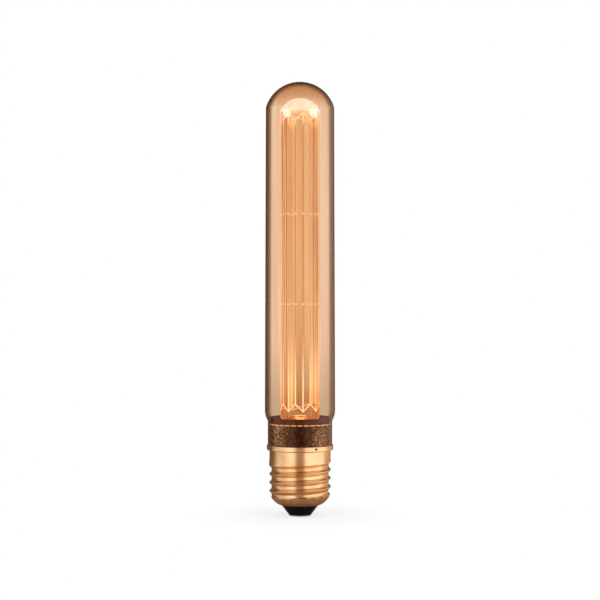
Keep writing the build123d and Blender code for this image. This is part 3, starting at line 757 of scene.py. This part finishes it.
def rod_holder():
    """Dish round the rod's foot, with a rounded rim and a foot ring."""
    spigot = CUP_R - CUP_WALL - 0.05
    inner = HOLDER_R - HOLDER_RIM_W
    foot = spigot - 3.2
    step = CUP_TOP + 0.05
    outline = (
        [(HOLDER_HOLE_R, HOLDER_UNDER), (foot, HOLDER_UNDER), (foot, CUP_PLATE_TOP)]
        + [(spigot, CUP_PLATE_TOP), (spigot, step)]
        + arc((HOLDER_R - 0.1, step + 0.1), 0.1, -90, 0, 3)
        + arc((HOLDER_R - 0.12, HOLDER_RIM_Z - 0.12), 0.12, 0, 90, 4)
        + arc((inner + 0.12, HOLDER_RIM_Z - 0.12), 0.12, 90, 170, 4)
        + run((inner, HOLDER_RIM_Z - 0.2), (GUIDE_R + 0.05, HOLDER_FLOOR), 8)[1:]
        + [(GUIDE_R + 0.05, HOLDER_FLOOR), (HOLDER_HOLE_R, HOLDER_FLOOR)]
    )
    brown = moulded("brown_polycarbonate", "#5A3426", "#663C2C", 0.3, 0.6, 0.01, 0.3)
    return turned("rod_holder", outline, 128, "guide_holder", brown)


def black_cone():
    """Glassy insulator with rounded edges, under the shell's lip."""
    r, z = LIP_R - 0.05, LIP_Z
    outline = (
        [(1.25, 7.38), (1.25, CONTACT_T)]
        + run((INSULATOR_LOW_R - 0.15, CONTACT_T), (INSULATOR_LOW_R, CONTACT_T + 0.15), 2)
        + run((INSULATOR_LOW_R, CONTACT_T + 0.15), (r - 0.1, z - 0.15), 8)
        + [(r, z), (r, z + 0.2), (9.6, 5.6), (10.8, 7.0), (10.85, 7.38)]
    )
    glass = moulded("black_vitrite", "#080609", "#0C090D", 0.06, 1.5, 0.02, 0.25)
    return turned("black_cone", outline, 96, "cap_insulator", glass, crease=50)


def contact_button():
    """Pressed contact with a rounded edge and a hollow stem."""
    stem, bore, stem_top = 1.2, 0.6, 6.05
    outline = (
        [(0, 0)]
        + run((1.5, 0), (CONTACT_R - 0.2, 0), 3)
        + arc((CONTACT_R - 0.2, 0.2), 0.2, -90, 0, 5)
        + [(CONTACT_R, CONTACT_T), (stem, CONTACT_T), (stem, stem_top)]
        + [(bore, stem_top), (bore, CONTACT_T), (0, CONTACT_T)]
    )
    tin = plated("tinned_contact", "#CFCBC2", "#B8B3AA", 0.35)
    return turned("contact_button", outline, 64, "centre_contact", tin)


def phosphor_disc():
    """Domed silicone over the LED."""
    side = PHOSPHOR_Z + 0.4
    outline = [(0, PHOSPHOR_Z), (PHOSPHOR_R, PHOSPHOR_Z), (PHOSPHOR_R, side)]
    outline += cap_arc(PHOSPHOR_R, side, 0.75, 10)[1:]
    return turned("phosphor_disc", outline, 64, "led_phosphor", lit_phosphor())


def dress_inner_nodes():
    """Finishes of the solids that stay as they are."""
    black_epoxy = moulded("black_epoxy", "#17171A", "#202024", 0.35)
    sleeve = moulded("black_pvc_sleeve", "#1B1F2B", "#262B38", 0.3)
    tinned = plated("tinned_copper", "#C9C6BF", "#B3AFA6", 0.3)
    kinds = {
        "neck_cement": moulded("white_cement", "#CDBFA6", "#B9A98D", 0.75, 0.3, 0.03),
        "led_package": moulded("white_ceramic", "#F2EFE8", "#E8E4DA", 0.4),
        "led_board": moulded("white_solder_mask", "#E9E9E4", "#DCDCD6", 0.35),
        "thermal_pad": moulded("grey_silicone_pad", "#8C939B", "#7F868E", 0.6, 0.3, 0.02),
        "driver_housing": moulded("dark_grey_pbt", "#706965", "#665F5B", 0.45),
        "driver_board": moulded("glass_epoxy_board", "#1E5A36", "#26683F", 0.35, 0.25, 0.01),
        "bridge_rectifier": black_epoxy,
        "driver_chip": black_epoxy,
        "chip_resistors": moulded("black_resistor_glaze", "#101012", "#1C1C20", 0.2),
        "input_capacitor": sleeve,
        "output_capacitor": sleeve,
        "film_capacitor": moulded("red_box_capacitor", "#B8352A", "#A92D23", 0.4),
        "inductor_core": moulded("ferrite", "#2E2C2E", "#3A383A", 0.55, 0.3, 0.02),
        "inductor_winding": plated("enamelled_copper", "#C26A35", "#9E5026", 0.25, 0.3),
        "fusible_resistor": moulded("green_resistor_lacquer", "#4E7F5C", "#447252", 0.35),
        "live_wire": moulded("black_wire_sleeve", "#19191B", "#232326", 0.4),
        "neutral_wire": tinned,
        "led_wire_positive": moulded("red_wire_sleeve", "#B02A20", "#9F2219", 0.4),
        "led_wire_negative": moulded("black_lead_sleeve", "#1B1B1E", "#262629", 0.4),
    }
    for node, material in kinds.items():
        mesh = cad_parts[node].data
        mesh.materials.clear()
        mesh.materials.append(material)


# Stage


def floor():
    """White table that keeps a faint shadow of the bulb and ends in the white backdrop.

    Reflections see it dark just under the bulb, and further off as part of the room.
    """
    mesh = bpy.data.meshes.new("table")
    form = bmesh.new()
    bmesh.ops.create_circle(form, cap_ends=True, segments=96, radius=0.2)
    form.to_mesh(mesh)
    form.free()
    table = bpy.data.objects.new("table", mesh)
    table.location.z = -0.00003
    bpy.context.scene.collection.objects.link(table)
    material, tree = new_material("white_table")
    place = add(tree, "TexCoord").outputs["Object"]
    radius = add(tree, "VectorMath", (place,), operation="LENGTH").outputs["Value"]
    straight = seen_straight(tree)
    far = add(tree, "MapRange", (radius, 0.016, 0.05, 0.78, 1.0), interpolation_type="SMOOTHSTEP")
    share = add(tree, "Math", (far, straight), operation="MULTIPLY")
    mirrored = add(tree, "LightPath").outputs["Is Glossy Ray"]
    tint = {0: mirrored, 6: colour("#F4F4F2"), 7: colour("#A08C7E")}
    chalk = add(tree, "BsdfDiffuse", (add(tree, "Mix", tint, data_type="RGBA"),))
    white = add(tree, "Emission", (colour("#FFFFFF"), 1.0))
    direct = add(tree, "MixShader", (share, chalk, white))
    outward = add(tree, "VectorMath", (place,), operation="NORMALIZE")
    room = add(tree, "Emission", (room_light(tree, outward), 1.0))
    beyond = add(tree, "MapRange", (radius, 0.02, 0.06), interpolation_type="SMOOTHSTEP")
    indirect = add(tree, "Math", (mirrored, straight), operation="SUBTRACT")
    share = add(tree, "Math", (beyond, indirect), operation="MULTIPLY", use_clamp=True)
    add(tree, "OutputMaterial", (add(tree, "MixShader", (share, direct, room)),))
    mesh.materials.append(material)


def seen_straight(tree):
    """One where a ray comes from the camera, by itself or straight through glass, and else nought."""
    path = add(tree, "LightPath").outputs
    unreflected = add(tree, "Math", (path["Glossy Depth"], 0.5), operation="LESS_THAN")
    through = add(tree, "Math", (path["Is Transmission Ray"], unreflected), operation="MULTIPLY")
    return add(tree, "Math", (path["Is Camera Ray"], through), operation="MAXIMUM")


def room_light(tree, direction):
    """Light of the room for reflections: white screens at both sides, the left one dimmer.

    The room is darker and brown in the middle and behind, apart from a bright wall at the right.
    """
    split = add(tree, "SeparateXYZ", (direction,)).outputs
    sideways = add(tree, "Math", (split["X"],), operation="ABSOLUTE")
    screens = add(tree, "MapRange", (sideways, 0.15, 0.42, 0.5, 1.25), interpolation_type="SMOOTHSTEP")
    dimmer = (split["X"], -0.95, -0.6, 0.66, 1.0)
    dimmer = add(tree, "MapRange", dimmer, interpolation_type="SMOOTHSTEP")
    screens = add(tree, "Math", (screens, dimmer), operation="MULTIPLY")
    behind = add(tree, "MapRange", (split["Y"], -0.05, 0.5), interpolation_type="SMOOTHSTEP")
    wall = add(tree, "MapRange", (split["X"], 0.3, 0.7, 0.24, 0.85), interpolation_type="SMOOTHSTEP")
    room = add(tree, "Mix", {0: behind, 2: screens, 3: wall}, data_type="FLOAT")
    tilt = add(tree, "Math", (split["Z"],), operation="ABSOLUTE")
    level = add(tree, "MapRange", (tilt, 0.3, 0.85, 1.0, 0.36), interpolation_type="SMOOTHSTEP")
    room = add(tree, "Math", (room, level), operation="MULTIPLY")
    centre = add(tree, "MapRange", (sideways, 0.15, 0.42, 1.0, 0.0), interpolation_type="SMOOTHSTEP")
    brown = add(tree, "Math", (behind, centre), operation="MAXIMUM")
    warm = add(tree, "Mix", {0: brown, 6: colour("#FFFFFF"), 7: colour("#E2C2A8")}, data_type="RGBA")
    return add(tree, "VectorMath", {0: warm, "Scale": room}, operation="SCALE")


def studio_world():
    """White backdrop. Reflections see the room, and matt surfaces get an even fill."""
    world = bpy.data.worlds.new("studio")
    bpy.context.scene.world = world
    world.use_nodes = True
    tree = world.node_tree
    tree.nodes.clear()
    room = room_light(tree, add(tree, "TexCoord").outputs["Generated"])
    diffuse = add(tree, "LightPath").outputs["Is Diffuse Ray"]
    fill = add(tree, "Math", (diffuse, 0.55), operation="MULTIPLY")
    light = add(tree, "VectorMath", (room, fill), operation="MAXIMUM")
    light = add(tree, "VectorMath", (light, seen_straight(tree)), operation="MAXIMUM")
    add(tree, "OutputWorld", (add(tree, "Background", (light, 1.0)),))


def softbox(name, place, size, watts, aim=(0, 0, 0.09)):
    """Rectangular lamp that lights matt surfaces. Glossy ones see the room's screens instead."""
    lamp = bpy.data.lights.new(name, "AREA")
    lamp.shape = "RECTANGLE"
    lamp.size, lamp.size_y = size
    lamp.energy = watts
    box = bpy.data.objects.new(name, lamp)
    box.location = place
    box.visible_transmission = False
    box.visible_glossy = False
    box.rotation_euler = (Vector(aim) - Vector(place)).to_track_quat("-Z", "Y").to_euler()
    bpy.context.scene.collection.objects.link(box)


def camera():
    """Long lens, level with the middle of the frame."""
    lens = bpy.data.cameras.new("camera")
    lens.lens = 94.8
    lens.sensor_width = 36.0
    lens.clip_start = 0.05
    view = bpy.data.objects.new("camera", lens)
    view.location = (0, -0.675, 0.0919)
    view.rotation_euler = (math.radians(90), 0, 0)
    bpy.context.scene.collection.objects.link(view)
    bpy.context.scene.camera = view


bpy.context.scene.view_settings.view_transform = "Standard"
camera()
studio_world()
softbox("left_box", (-0.44, -0.44, 0.14), (0.5, 0.5), 1.2)
softbox("right_box", (0.44, -0.44, 0.14), (0.5, 0.5), 1.2)
softbox("top_box", (0.0, -0.1, 0.62), (0.4, 0.4), 1.0)
floor()

glass_tube()
glowing_rod()
screw_shell()
metal_cup()
rod_holder()
black_cone()
contact_button()
phosphor_disc()
dress_inner_nodes()
